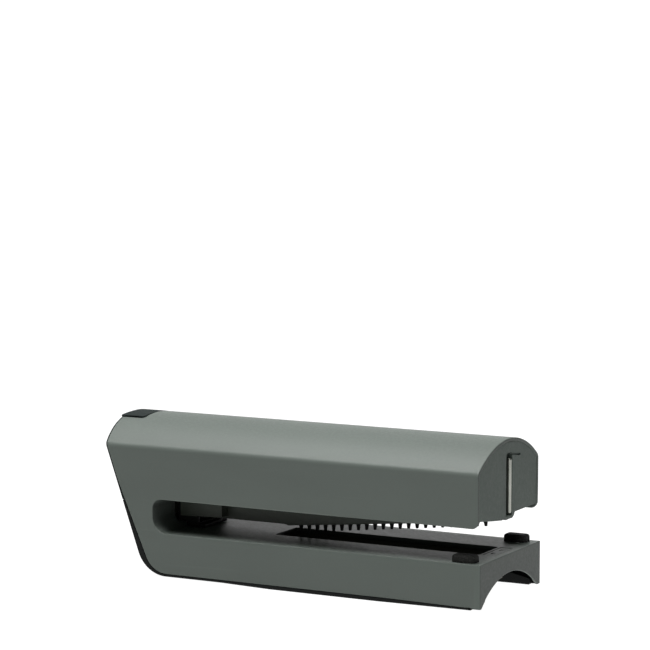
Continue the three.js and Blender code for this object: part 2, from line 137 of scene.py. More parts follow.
def rounded(corners, step=6.0):
    """Points of a closed outline. A corner's third number is its radius, drawn every step degrees."""
    points = []
    count = len(corners)
    for index, corner in enumerate(corners):
        here = Vector(corner[:2])
        radius = corner[2] if len(corner) > 2 else 0
        if radius == 0:
            points.append(tuple(here))
            continue
        before = (Vector(corners[index - 1][:2]) - here).normalized()
        after = (Vector(corners[(index + 1) % count][:2]) - here).normalized()
        half_angle = before.angle(after) / 2
        centre = here + (before + after).normalized() * radius / math.sin(half_angle)
        start = here + before * radius / math.tan(half_angle) - centre
        end = here + after * radius / math.tan(half_angle) - centre
        first = math.atan2(start.y, start.x)
        turn = math.atan2(end.y, end.x) - first
        turn = (turn + math.pi) % (2 * math.pi) - math.pi
        pieces = max(2, math.ceil(abs(math.degrees(turn)) / step))
        for i in range(pieces + 1):
            angle = first + turn * i / pieces
            points.append((centre.x + radius * math.cos(angle), centre.y + radius * math.sin(angle)))
    return points


def from_bmesh(name, bm):
    bmesh.ops.recalc_face_normals(bm, faces=bm.faces)
    mesh = bpy.data.meshes.new(name)
    bm.to_mesh(mesh)
    bm.free()
    obj = bpy.data.objects.new(name, mesh)
    SCENE.collection.objects.link(obj)
    return obj


PLACES = {
    "x": lambda a, b, c: (c, a, b),
    "y": lambda a, b, c: (a, c, b),
    "z": lambda a, b, c: (a, b, c),
}


def prism(points, axis, start, end):
    """A prism whose outline lies across the axis: (y, z) for x, (x, z) for y and (x, y) for z."""
    bm = bmesh.new()
    place = PLACES[axis]
    rings = [[bm.verts.new(place(a, b, c)) for a, b in points] for c in (start, end)]
    count = len(points)
    for i in range(count):
        j = (i + 1) % count
        bm.faces.new((rings[0][i], rings[0][j], rings[1][j], rings[1][i]))
    bm.faces.new(rings[0])
    bm.faces.new(rings[1])
    return from_bmesh("work", bm)


def block(x0, x1, y0, y1, z0, z1, radius=0):
    """A box. A radius rounds its four upright edges."""
    corners = [(x0, y0, radius), (x1, y0, radius), (x1, y1, radius), (x0, y1, radius)]
    return prism(rounded(corners, 15), "z", z0, z1)


def circle(a, b, radius, count=48):
    turns = [2 * math.pi * i / count for i in range(count)]
    return [(a + radius * math.cos(t), b + radius * math.sin(t)) for t in turns]


def rod(axis, a, b, radius, start, end, count=48):
    return prism(circle(a, b, radius, count), axis, start, end)


def turned(profile, x=0, y=0, z=0, count=64):
    """A piece turned about an upright axis. The profile is a list of (radius, height), axis to axis."""
    bm = bmesh.new()
    rings = []
    for radius, height in profile:
        if radius == 0:
            rings.append([bm.verts.new((x, y, z + height))])
        else:
            rings.append([bm.verts.new((*p, z + height)) for p in circle(x, y, radius, count)])
    for low, high in zip(rings, rings[1:]):
        for i in range(count):
            j = (i + 1) % count
            corners = [low[i % len(low)], low[j % len(low)], high[j % len(high)], high[i % len(high)]]
            bm.faces.new(list(dict.fromkeys(corners)))
    return from_bmesh("work", bm)


def bake(obj):
    """Applies the modifiers."""
    bpy.context.view_layer.update()
    graph = bpy.context.evaluated_depsgraph_get()
    mesh = bpy.data.meshes.new_from_object(obj.evaluated_get(graph))
    obj.modifiers.clear()
    obj.data = mesh


def boolean(operation, target, tools):
    for tool in tools:
        modifier = target.modifiers.new("shape", "BOOLEAN")
        modifier.operation = operation
        modifier.solver = "EXACT"
        modifier.object = tool
        bake(target)
        bpy.data.objects.remove(tool)
    return target


def cut(target, *tools):
    return boolean("DIFFERENCE", target, tools)


def join(target, *tools):
    return boolean("UNION", target, tools)


def common(target, *tools):
    return boolean("INTERSECT", target, tools)


def clean(obj):
    """Merges doubled points and dissolves the seams that booleans leave in flat faces."""
    bm = bmesh.new()
    bm.from_mesh(obj.data)
    bmesh.ops.remove_doubles(bm, verts=bm.verts, dist=0.004)
    bmesh.ops.dissolve_limit(bm, angle_limit=math.radians(0.02), verts=bm.verts, edges=bm.edges)
    bm.to_mesh(obj.data)
    bm.free()
    return obj


def soften(obj, width, segments=3, angle=32, skip=None):
    """Rounds the sharp edges, apart from those whose middle skip() turns down."""
    bm = bmesh.new()
    bm.from_mesh(obj.data)
    weight = bm.edges.layers.float.new("bevel_weight_edge")
    for edge in bm.edges:
        sharp = len(edge.link_faces) == 2 and edge.calc_face_angle() > math.radians(angle)
        middle = (edge.verts[0].co + edge.verts[1].co) / 2
        edge[weight] = 1.0 if sharp and not (skip and skip(middle)) else 0.0
    bm.to_mesh(obj.data)
    bm.free()
    modifier = obj.modifiers.new("edges", "BEVEL")
    modifier.width = width
    modifier.segments = segments
    modifier.limit_method = "WEIGHT"
    modifier.use_clamp_overlap = False
    bake(obj)
    return obj


def finished(name, obj, body, material, replaces=(), smooth=38):
    """Shades a piece, turns it into metres and gives it its name, body and material."""
    obj.name = name
    mesh = obj.data
    mesh.name = name
    mesh.transform(Matrix.Scale(MM, 4) @ Matrix.Translation((0, 0, LIFT)))
    mesh.polygons.foreach_set("use_smooth", [True] * len(mesh.polygons))
    mesh.set_sharp_from_angle(angle=math.radians(smooth))
    modifier = obj.modifiers.new("normals", "WEIGHTED_NORMAL")
    modifier.keep_sharp = True
    modifier.weight = 90
    bake(obj)
    obj.data.materials.clear()
    obj.data.materials.append(material)
    if body:
        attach(obj, body)
    if replaces:
        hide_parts(*replaces)
    return obj


# ---------------------------------------------------------------- materials


class Nodes:
    """Small helper that adds and links shader nodes."""

    def __init__(self, name):
        self.material = bpy.data.materials.new(name)
        self.material.use_nodes = True
        self.tree = self.material.node_tree
        self.shader = self.tree.nodes["Principled BSDF"]
        self.place = self.tree.nodes.new("ShaderNodeTexCoord").outputs["Object"]

    def add(self, kind, **inputs):
        node = self.tree.nodes.new(kind)
        for key, value in inputs.items():
            self.give(node.inputs[key.replace("_", " ")], value)
        return node

    def give(self, socket, value):
        if isinstance(value, bpy.types.NodeSocket):
            self.tree.links.new(value, socket)
        else:
            socket.default_value = value

    def noise(self, scale, detail=3.0, stretch=(1, 1, 1)):
        mapping = self.add("ShaderNodeMapping", Vector=self.place, Scale=stretch)
        node = self.add("ShaderNodeTexNoise", Vector=mapping.outputs[0], Scale=scale, Detail=detail)
        return node.outputs[0]

    def between(self, value, low, high, from_low=0.3, from_high=0.7):
        node = self.add(
            "ShaderNodeMapRange",
            Value=value, From_Min=from_low, From_Max=from_high, To_Min=low, To_Max=high,
        )
        return node.outputs[0]

    def times(self, first, second):
        node = self.tree.nodes.new("ShaderNodeMath")
        node.operation = "MULTIPLY"
        self.give(node.inputs[0], first)
        self.give(node.inputs[1], second)
        return node.outputs[0]

    def mix(self, factor, first, second):
        node = self.tree.nodes.new("ShaderNodeMix")
        node.data_type = "RGBA"
        self.give(node.inputs[0], factor)
        self.give(node.inputs[6], first)
        self.give(node.inputs[7], second)
        return node.outputs[2]

    def ridges(self):
        """1 on edges, 0.5 on flats."""
        return self.tree.nodes.new("ShaderNodeNewGeometry").outputs["Pointiness"]

    def bump(self, height, distance, normal=None):
        node = self.add("ShaderNodeBump", Height=height, Distance=distance, Strength=1.0)
        if normal is not None:
            self.give(node.inputs["Normal"], normal)
        return node.outputs[0]

    def set(self, **inputs):
        for key, value in inputs.items():
            self.give(self.shader.inputs[key.replace("_", " ")], value)


def tint(red, green, blue):
    """A colour given as 0 to 255 screen values."""
    def linear(value):
        share = value / 255
        return share / 12.92 if share <= 0.04045 else ((share + 0.055) / 1.055) ** 2.4
    return (linear(red), linear(green), linear(blue), 1)


def plastic(name, colour, roughness, grain=0.00002, patchy=0.06, edge_wear_and_highlight=0.25, shine=0.4, front=0, rubbed=0):
    """Moulded plastic: fine spark-eroded grain, slow colour drift, hair scratches, and paler edges that are
    partly edge wear and partly a painted highlight.

    front is how much darker, as painted shade, the faces that look forward are. rubbed is the height, in
    metres, up to which level faces are worn smooth by sheets sliding over them.
    """
    n = Nodes(name)
    drift = n.noise(38, 4, (0.5, 1, 1.4))
    darker = tuple(c * (1 - patchy) for c in colour[:3]) + (1,)
    paler = tuple(min(1, c * (1 + patchy)) for c in colour[:3]) + (1,)
    base = n.mix(n.between(drift, 0, 1), darker, paler)
    speck = n.between(n.noise(2600, 2), 0, 0.10, 0.35, 0.75)
    base = n.mix(speck, base, tuple(c * 1.35 for c in colour[:3]) + (1,))
    # painted highlight and wear: sharp edges (high pointiness) are painted paler
    edge = n.between(n.ridges(), 0, edge_wear_and_highlight, 0.52, 0.62)
    base = n.mix(edge, base, tuple(min(1, c * 1.6) for c in colour[:3]) + (1,))
    scratch = n.noise(420, 2, (0.04, 1, 1))
    lines = n.between(scratch, 0, 1, 0.66, 0.72)
    base = n.mix(n.between(lines, 0, 0.12, 0, 1), base, tuple(c * 1.4 for c in colour[:3]) + (1,))
    rough = n.between(n.noise(900, 3), roughness - 0.06, roughness + 0.08)
    facing = n.tree.nodes.new("ShaderNodeNewGeometry").outputs["Normal"]
    normal = n.add("ShaderNodeSeparateXYZ", Vector=facing)
    # painted shade: the colour of faces that look forward is darkened towards black
    if front:
        base = n.mix(n.between(normal.outputs["X"], 0, front, 0.6, 0.95), base, (0, 0, 0, 1))
    if rubbed:
        height = n.add("ShaderNodeSeparateXYZ", Vector=n.place).outputs["Z"]
        low = n.between(height, 1, 0, rubbed, rubbed + 0.0004)
        level = n.between(normal.outputs["Z"], 0, 1, 0.9, 0.98)
        rough = n.times(rough, n.between(n.times(low, level), 1, 0.85, 0, 1))
    n.set(
        Base_Color=base,
        Roughness=rough,
        Specular_IOR_Level=shine,
        Normal=n.bump(n.noise(3000, 3), grain, n.bump(n.noise(55, 2), grain * 6)),
    )
    return n.material


def rubber(name, colour):
    """Moulded rubber: dull, with dust in a coarse grain."""
    n = Nodes(name)
    dust = n.between(n.noise(1600, 4), 0, 0.35, 0.5, 0.8)
    n.set(
        Base_Color=n.mix(dust, colour, tint(92, 92, 88)),
        Roughness=n.between(n.noise(300, 3), 0.62, 0.85),
        Specular_IOR_Level=0.2,
        Normal=n.bump(n.noise(2200, 4), 0.00006),
    )
    return n.material


def steel(name, colour, roughness, along="x"):
    """Sheet or wire: fine drawing lines along one axis, with cloudy plating."""
    n = Nodes(name)
    stretch = {"x": (0.03, 1, 1), "y": (1, 0.03, 1), "z": (1, 1, 0.03)}[along]
    lines = n.noise(5200, 3, stretch)
    cloud = n.noise(140, 3)
    dull = tuple(c * 0.72 for c in colour[:3]) + (1,)
    n.set(
        Base_Color=n.mix(n.between(cloud, 0, 0.8), colour, dull),
        Metallic=1.0,
        Roughness=n.between(lines, roughness - 0.08, roughness + 0.12),
        Normal=n.bump(lines, 0.00001),
    )
    return n.material


def casing_grey():
    """The casing's satin grey, with faint flow marks from moulding, and painted shade that darkens its
    forward-looking faces.
    """
    return plastic(
        "casing_grey", tint(88, 95, 90), 0.5, grain=0.000016, patchy=0.035, edge_wear_and_highlight=0.3, shine=0.28, front=0.5,
        rubbed=(BASE_TOP + LIFT + 0.3) * MM,
    )


GREY = casing_grey()
DARK = plastic("front_plate_grey", tint(69, 77, 72), 0.55, grain=0.00002, patchy=0.08, edge_wear_and_highlight=0.35, shine=0.2)
BLACK = plastic("black_plastic", tint(20, 22, 21), 0.5, grain=0.00003, patchy=0.12, edge_wear_and_highlight=0.3, shine=0.12)
INNER = plastic("inner_plastic", tint(52, 58, 50), 0.5, grain=0.00003, patchy=0.1, edge_wear_and_highlight=0.25)
CAP = plastic("cap_plastic", tint(38, 43, 42), 0.75, grain=0.00003, patchy=0.1, edge_wear_and_highlight=0.3, shine=0.05)
RUBBER = rubber("black_rubber", tint(24, 25, 23))
BRIGHT = steel("bright_steel", tint(174, 176, 168), 0.3, "z")
WIRE = steel("spring_wire", tint(180, 182, 180), 0.3, "x")
ZINC = steel("zinc_sheet", tint(168, 172, 173), 0.36, "x")
OXIDE = steel("black_oxide", tint(50, 51, 53), 0.45, "x")
LINER = plastic("liner_plastic", tint(92, 93, 82), 0.5, grain=0.00003, patchy=0.12, edge_wear_and_highlight=0.3, shine=0.3)
PLATED = plastic("plated_anvil", tint(90, 97, 92), 0.43, grain=0.00001, patchy=0.05, edge_wear_and_highlight=0.35, shine=0.28)

# ---------------------------------------------------------------- casing


def arch_points(inset, low, fillet=SHOULDER_RADIUS):
    """The upper arm's section as (y, z): flat sides, rounded shoulders and the crown arc."""
    half = HALF - inset
    radius = CROWN_RADIUS - inset
    corner = max(fillet - inset, 0.4)
    high = CROWN_CENTRE + math.sqrt((radius - corner) ** 2 - (half - corner) ** 2)
    lean = math.atan2(high - CROWN_CENTRE, half - corner)
    points = [(half, low)]
    for i in range(9):
        angle = lean * i / 8
        points.append((half - corner + corner * math.cos(angle), high + corner * math.sin(angle)))
    arcs = 60
    for i in range(1, arcs):
        angle = lean + (math.pi - 2 * lean) * i / arcs
        points.append((radius * math.cos(angle), CROWN_CENTRE + radius * math.sin(angle)))
    for i in range(9):
        angle = math.pi - lean * (8 - i) / 8
        points.append((-half + corner + corner * math.cos(angle), high + corner * math.sin(angle)))
    points.append((-half, low))
    return points


def arch(inset, low, fillet=SHOULDER_RADIUS, start=-FAR, end=FAR):
    return prism(arch_points(inset, low, fillet), "x", start, end)


def notch(inset):
    """The notch in the rear of the crown, seen from above."""
    half = 11.9 - inset
    front = -80.2 - inset
    return rounded([(-FAR, -half), (front, -half, 1.6), (front, half, 1.6), (-FAR, half)])


DISH = {"x": 64.0, "z": 3.4, "reach": 47.6, "depth": 0.86}


def sliced(bm, faces, axis, places):
    """Cuts the faces along planes across an axis, at these places. Returns the faces it leaves."""
    geometry = list({*faces, *(e for f in faces for e in f.edges), *(v for f in faces for v in f.verts)})
    for place in places:
        point = Vector((0, 0, 0))
        normal = Vector((0, 0, 0))
        point[axis] = place
        normal[axis] = 1
        halves = bmesh.ops.bisect_plane(bm, geom=geometry, plane_co=point, plane_no=normal, dist=0.0005)
        geometry = halves["geom"]
    return [g for g in geometry if isinstance(g, bmesh.types.BMFace)]


def press_dishes(obj):
    """Presses a shallow round hollow into each side of the upper arm near the front, and lets it sag."""
    bm = bmesh.new()
    bm.from_mesh(obj.data)
    top = DISH["z"] + DISH["reach"] + 1
    skin = HALF - 0.7
    step = 1.4
    bend_end = NECK_LOW + 4
    rows = int((top - ARM_BOTTOM) / step) + 1
    for side in (-1, 1):
        wall = [
            f for f in bm.faces
            if all(v.co.y * side > skin for v in f.verts)
            and max(v.co.x for v in f.verts) > 12
            and max(v.co.z for v in f.verts) > ARM_BOTTOM
        ]
        wall = sliced(bm, wall, 0, [14 + step * i for i in range(56)])
        sliced(bm, wall, 2, [ARM_BOTTOM + 0.8 + step * i for i in range(rows)])
    for v in bm.verts:
        if v.co.z < bend_end:
            continue
        away = (v.co.x - DISH["x"]) ** 2 + (v.co.z - DISH["z"]) ** 2
        inward = DISH["depth"] * (1 - away / DISH["reach"] ** 2)
        if inward > 0 and abs(v.co.y) > skin:
            v.co.y -= math.copysign(inward, v.co.y)
        reach = max(0, v.co.x - THROAT_END)
        v.co.z -= SAG * reach * min(1, (v.co.z - bend_end) / 6)
        if v.co.y > HALF - 4 and v.co.z < ARM_BOTTOM + 4:
            v.co.z -= TWIST * reach
    bm.to_mesh(obj.data)
    bm.free()


def casing():
    """The grey C: lower arm, neck and upper arm in one moulding."""
    side = rounded([
        (FRONT, 0.05),
        (FRONT, BASE_TOP),
        (THROAT_END, BASE_TOP, THROAT_LOW_RADIUS),
        (THROAT_END, ARM_BOTTOM, THROAT_HIGH_RADIUS),
        (ARM_FRONT, ARM_BOTTOM, 3.2),
        (ARM_FRONT, HEIGHT + 8),
        (rear_grey(HEIGHT + 8), HEIGHT + 8),
        (rear_grey(MERGE), MERGE),
        (rear_grey(CASING_FOOT), CASING_FOOT, CORNER_RADIUS),
        (50, CASING_FOOT),
        (86, CASING_TOE),
        (88.9, CASING_TOE),
        (88.9, 0.05),
    ])
    body = common(arch(0, -2), prism(side, "y", -HALF - 5, HALF + 5))
    inner = HALF - BASE_WALL
    arm_hollow = cut(
        arch(ARM_WALL, 25),
        block(THROAT_END - BASE_WALL, THROAT_END + THROAT_HIGH_RADIUS, -FAR, FAR, 20, ARM_BOTTOM + 2.2),
    )
    archway = rod("x", *ARCH_CENTRE, ARCH_RADIUS, 80, FAR, 240)
    rebate = common(
        rod("x", *ARCH_CENTRE, ARCH_RADIUS + REBATE, 80, FRONT - 0.9, 240),
        block(79, FRONT, -inner, inner, -5, 20),
    )
    body = cut(
        body,
        arm_hollow,
        block(-FAR, FRONT - BASE_WALL, -inner, inner, -5, BASE_TOP - TOP_PLATE),
        block(-FAR, THROAT_END - BASE_WALL, -inner, inner, -5, 40),
        block(-15, liner_high.x - 1.5, -9.4, 9.4, 10, 24, 0.7),
        archway,
        rebate,
        prism(rounded([(-12, 20.4, 1), (12, 20.4, 1), (12, 36), (-12, 36)], 15), "x", -75, -59.5),
        block(anvil_low.x - 0.15, anvil_high.x + 0.15, -9.15, 9.15, BASE_TOP - 0.9, 24, 0.5),
        prism(notch(0), "z", SHOULDER + 2, HEIGHT + 5),
    )
    soften(clean(body), EDGE, skip=lambda middle: middle.z < 3 and middle.x > 80)
    press_dishes(body)
    for height in range(19, 34, 2):
        slice_neck(body, height)
    skin = finished("casing", body, None, GREY, ("casing_base", "casing_arm"))
    bend(skin)
    return skin


def bend(obj):
    """Bakes the piece's placement into its mesh."""
    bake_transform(obj)


def slice_neck(obj, height):
    """Adds a line of points round the neck at a height, so that it can bend."""
    bm = bmesh.new()
    bm.from_mesh(obj.data)
    sliced(bm, [f for f in bm.faces if min(v.co.x for v in f.verts) < THROAT_END + 8], 2, [height])
    bm.to_mesh(obj.data)
    bm.free()


# ---------------------------------------------------------------- base


def bottom_cover():
    """The black underside, which climbs the rear of the neck and has two prongs at the front."""
    gap = 0.12
    seam = CASING_FOOT - gap
    low = cover_low.z
    flat = -0.4
    toe_x, toe_z = 87.7, -0.55
    plate_end = 62
    foot = [(45, low, 60), (-6, low, 60), (-30, flat, 60)]
    side = rounded([
        (toe_x + 1, CASING_TOE - gap),
        (toe_x, toe_z),
        *foot,
        (rear_outer(flat), flat, 14.6),
        (rear_outer(SPLIT), SPLIT),
        (rear_grey(SPLIT) - gap, SPLIT),
        (rear_grey(seam) - gap, seam, CORNER_RADIUS + gap),
        (50, seam),
    ])
    on_side = toe_z + (toe_x - plate_end) * (low - toe_z) / (toe_x - foot[0][0])
    plate = rounded([(plate_end, on_side), *foot, (-56, flat), (-56, 1.4), (plate_end, 1.4)])
    inner = 28.2
    body = join(prism(side, "y", -HALF, HALF), prism(plate, "y", -inner, inner))
    body = cut(
        body,
        block(plate_end - 2, FAR, -19.5, 19.5, -2, 8, 2),
        block(plate_end + 1, FAR, -inner, inner, -2, 8, 2),
    )
    prong = rounded([(56, -0.8), (60, 0), (89.5, 0, 0.6), (89.5, 2.75, 0.6), (81.3, 4.5, 3), (56, 4.5)])
    skirt = [(50, 0.1), (90.9, 0.1), (90.9, 3.6), (89.6, 3.6), (89.6, 10), (50, 10)]
    for hand in (-1, 1):
        body = join(body, prism(prong, "y", *sorted((hand * 25.4, hand * 28.4))))
        body = join(body, block(-50, 57, *sorted((hand * 26.2, hand * 27.8)), 1, 5))
        body = join(body, prism(skirt, "y", *sorted((hand * 28.25, hand * 28.65))))
        for x in FOOT_STATIONS:
            body = cut(
                body,
                rod("z", x, hand * SCREW_OUT, 3.3, -2, 0.6),
                rod("z", x, hand * PAD_OUT, 6.25, -2, 0.4),
            )
    for x in (0, 6, 12, 18, 24, 30):
        body = cut(body, block(x - 1, x + 1, -18, 18, -2, low + 0.4, 0.9))
    soften(clean(body), 0.2, 2, 40)
    return finished("bottom_cover_skin", body, "base", BLACK, ("bottom_cover",))


def trough():
    body = cut(
        block(liner_low.x, liner_high.x, liner_low.y, liner_high.y, liner_low.z, liner_high.z, 1.5),
        block(liner_low.x + 1.2, liner_high.x - 1.2, -10.8, 10.8, liner_low.z + 1.2, 30, 1.2),
    )
    for i in range(5):
        x = -4 + i * 18
        body = join(body, block(x, x + 1.2, -10.9, 10.9, 6, 9))
    soften(clean(body), 0.25, 2)
    return finished("trough_tray", body, "base", LINER, ("trough_liner",))


def anvil():
    body = block(anvil_low.x, anvil_high.x, anvil_low.y, anvil_high.y, anvil_low.z, anvil_high.z, 0.5)
    for hand in (-1, 1):
        pocket = prism(rounded([
            (hand * 4.2 - 2.2, anvil_high.z + 1),
            (hand * 4.2 - 2.2, anvil_high.z),
            (hand * 4.2, anvil_high.z - 0.3, 2),
            (hand * 4.2 + 2.2, anvil_high.z),
            (hand * 4.2 + 2.2, anvil_high.z + 1),
        ][::hand], 8), "x", 85.1, 86.9)
        body = cut(body, pocket)
    soften(clean(body), 0.08, 2)
    return finished("anvil", body, "base", PLATED, ("anvil_plate",))


def bumpers():
    """Rubber pads with rounded tops, pushed into holes by their stems."""
    for hand in ("right", "left"):
        low, high = mm_box(f"bumper_{hand}")
        pad = block(low.x, high.x, low.y, high.y, BASE_TOP + 0.02, high.z, 1.9)
        soften(clean(pad), 1.25, 6, 60, lambda middle: middle.z < high.z - 0.1)
        stem = rod("z", (low.x + high.x) / 2, (low.y + high.y) / 2, 2, low.z, BASE_TOP + 0.5)
        body = join(pad, stem)
        finished(f"bumper_pad_{hand}", body, "base", RUBBER, (f"bumper_{hand}",), 50)


def feet():
    for end in ("rear", "front"):
        for hand in ("right", "left"):
            low, high = mm_box(f"foot_pad_{end}_{hand}")
            x, y = (low.x + high.x) / 2, (low.y + high.y) / 2
            profile = [(0, 0.12)]
            for ring in range(4):
                radius = 1.2 + ring * 1.15
                profile += [(radius, 0.12), (radius + 0.2, 0), (radius + 0.7, 0), (radius + 0.9, 0.12)]
            profile += [(5.7, 0.12), (6, 0.4), (6, high.z - low.z), (0, high.z - low.z)]
            node = f"foot_pad_{end}_{hand}"
            body = turned(profile, x, y, low.z)
            finished(f"foot_{end}_{hand}", body, "base", RUBBER, (node,), 40)


def screws():
    """Cross-head screws, heads down."""
    names = [f"cover_screw_{end}_{hand}" for end in ("rear", "front") for hand in ("right", "left")]
    for name in names:
        low, high = mm_box(name)
        x, y = (low.x + high.x) / 2, (low.y + high.y) / 2
        body = turned([
            (0, low.z), (2.2, low.z), (2.7, low.z + 0.25), (2.9, low.z + 0.6), (2.9, low.z + 1.2),
            (1.3, low.z + 1.2), (1.3, high.z - 1), (0.5, high.z), (0, high.z),
        ], x, y, 0, 48)
        for turn in (0.35, 0.35 + math.pi / 2):
            slot = block(-1.7, 1.7, -0.32, 0.32, low.z - 1, low.z + 0.65)
            slot.data.transform(Matrix.Translation((x, y, 0)) @ Matrix.Rotation(turn, 4, "Z"))
            body = cut(body, slot)
        finished(f"{name}_head", body, "base", ZINC, (name,), 30)


def bracket():
    low, high = mm_box("hinge_bracket")
    side = rounded([
        (-49.4, low.z),
        (-49.4, 20.15, 0.6),
        (-52.9, 20.15),
        (-52.9, high.z, 1),
        (-59, high.z, 1),
        (low.x, 31, 3),
        (low.x, 21.5, 1),
        (-58.6, 20.6),
        (-58.6, low.z),
    ])
    body = cut(
        prism(side, "y", low.y, high.y),
        prism(rounded([(-9.7, 20.2, 1), (9.7, 20.2, 1), (9.7, 60), (-9.7, 60)], 15), "x", -FAR, 0),
        block(-52.9, 0, 8.2, 20, 10, 40),
        rod("y", *PIN, 1.6, -20, 20),
    )
    soften(clean(body), 0.3, 2)
    finished("pivot_bracket", body, "base", BLACK, ("hinge_bracket",))


def bracket_shields():
    """A moulded skirt on each cheek of the bracket. The pin passes through the left one to its clip."""
    rear, front, top = -61.6, -40.6, 32
    side = rounded([(rear, 23.2, 0.5), (front, 23.9, 0.5), (front, top, 1), (rear, top, 1)], 20)
    for hand, name in ((-1, "right"), (1, "left")):
        body = join(
            prism(side, "y", *sorted((hand * 11.25, hand * 11.85))),
            block(front - 0.6, front, *sorted((hand * 6.9, hand * 11.6)), 23.95, top),
        )
        if hand > 0:
            body = cut(body, rod("y", *PIN, 1.65, 10, 13))
        soften(clean(body), 0.15, 2)
        finished(f"bracket_shield_{name}", body, "base", INNER)


def presser_pin():
    x, z = PIN
    body = rod("y", x, z, 1.5, -11.2, 12.35)
    soften(clean(body), 0.15, 2)
    finished("pivot_pin", body, "base", OXIDE, ("presser_pin",))
    ring = cut(
        rod("y", x, z, 2.3, 11.9, 12.4),
        rod("y", x, z, 1.55, -20, 20),
        block(x, x + 5, -20, 20, z - 1.1, z + 1.1),
    )
    soften(clean(ring), 0.12, 2)
    finished("pivot_clip", ring, "base", OXIDE, ("presser_pin_clip",))


def neck_springs():
    for hand in ("right", "left"):
        low, high = mm_box(f"neck_spring_{hand}")
        bm = bmesh.new()
        steps = 16
        rows = []
        for i in range(steps + 1):
            z = low.z + (high.z - low.z) * i / steps
            bow = 0.35 * math.sin(math.pi * i / steps)
            rows.append([
                bm.verts.new((low.x - bow, low.y, z)),
                bm.verts.new((high.x - bow, low.y, z)),
                bm.verts.new((high.x - bow, high.y, z)),
                bm.verts.new((low.x - bow, high.y, z)),
            ])
        for lower, upper in zip(rows, rows[1:]):
            for i in range(4):
                bm.faces.new((lower[i], lower[(i + 1) % 4], upper[(i + 1) % 4], upper[i]))
        bm.faces.new(rows[0])
        bm.faces.new(rows[-1])
        body = soften(from_bmesh("work", bm), 0.12, 2)
        bend(finished(f"neck_leaf_{hand}", body, None, WIRE, (f"neck_spring_{hand}",)))


# ---------------------------------------------------------------- presser

TEETH = 23
PITCH = 4.0
FRONT_TOOTH = 80.5


def tooth_root(x):
    return 30.6 + 0.1 * (x - 80.3)


def tooth_tip(x):
    return 28.7 + 0.1155 * (x - 80.3)


def toothed_strip():
    low, high = mm_box("toothed_strip")
    corners = [(low.x, tooth_root(low.x))]
    for i in reversed(range(TEETH)):
        x = FRONT_TOOTH - i * PITCH
        root, tip = tooth_root(x), tooth_tip(x)
        corners.append((x - 1.25, root))
        corners.append((x - 0.85, root - 0.4, 0.25))
        corners.append((x - 0.48, tip, 0.16))
        corners.append((x + 0.48, tip, 0.16))
        if i > 0:
            corners.append((x + 0.85, root - 0.4, 0.25))
            corners.append((x + 1.25, root))
    web = 78.6
    corners += [
        (high.x, tooth_root(high.x) + 0.5),
        (web, tooth_root(web) + 0.5),
        (web, tooth_root(web) + 2.4),
        (low.x, tooth_root(low.x) + 3.4),
    ]
    body = prism(rounded(corners, 20), "y", low.y, high.y)
    soften(clean(body), 0.1, 2, 40)
    return finished("comb", body, "presser", BLACK, ("toothed_strip",))


def presser_arm():
    low, high = mm_box("presser_arm")
    rise = 0.65
    foot = -10.5
    side = rounded([
        (low.x, 22.7, 2),
        (-12, 22.7, 2),
        (foot, tooth_root(foot) + rise, 2),
        (high.x, tooth_root(high.x) + rise),
        (high.x, high.z, 0.8),
        (foot, 31.5, 20),
        (-50, 31.5, 10),
        (low.x, 29.5, 2),
    ])
    inside = rounded([
        (low.x + 1.4, 24.0, 1),
        (-12, 24.0),
        (foot, tooth_root(foot) + rise + 1.4),
        (high.x - 1.4, tooth_root(high.x - 1.4) + rise + 1.4),
        (high.x - 1.4, 45),
        (low.x + 1.4, 45),
    ])
    body = cut(
        prism(side, "y", low.y, high.y),
        prism(inside, "y", low.y + 1.4, high.y - 1.4),
        block(-9.9, 79, -0.7, 0.7, 15, 45),
        rod("y", *PIN, 1.6, -20, 20),
    )
    soften(clean(body), 0.3, 2)
    return finished("presser_beam", body, "presser", INNER, ("presser_arm",))


# ---------------------------------------------------------------- upper arm


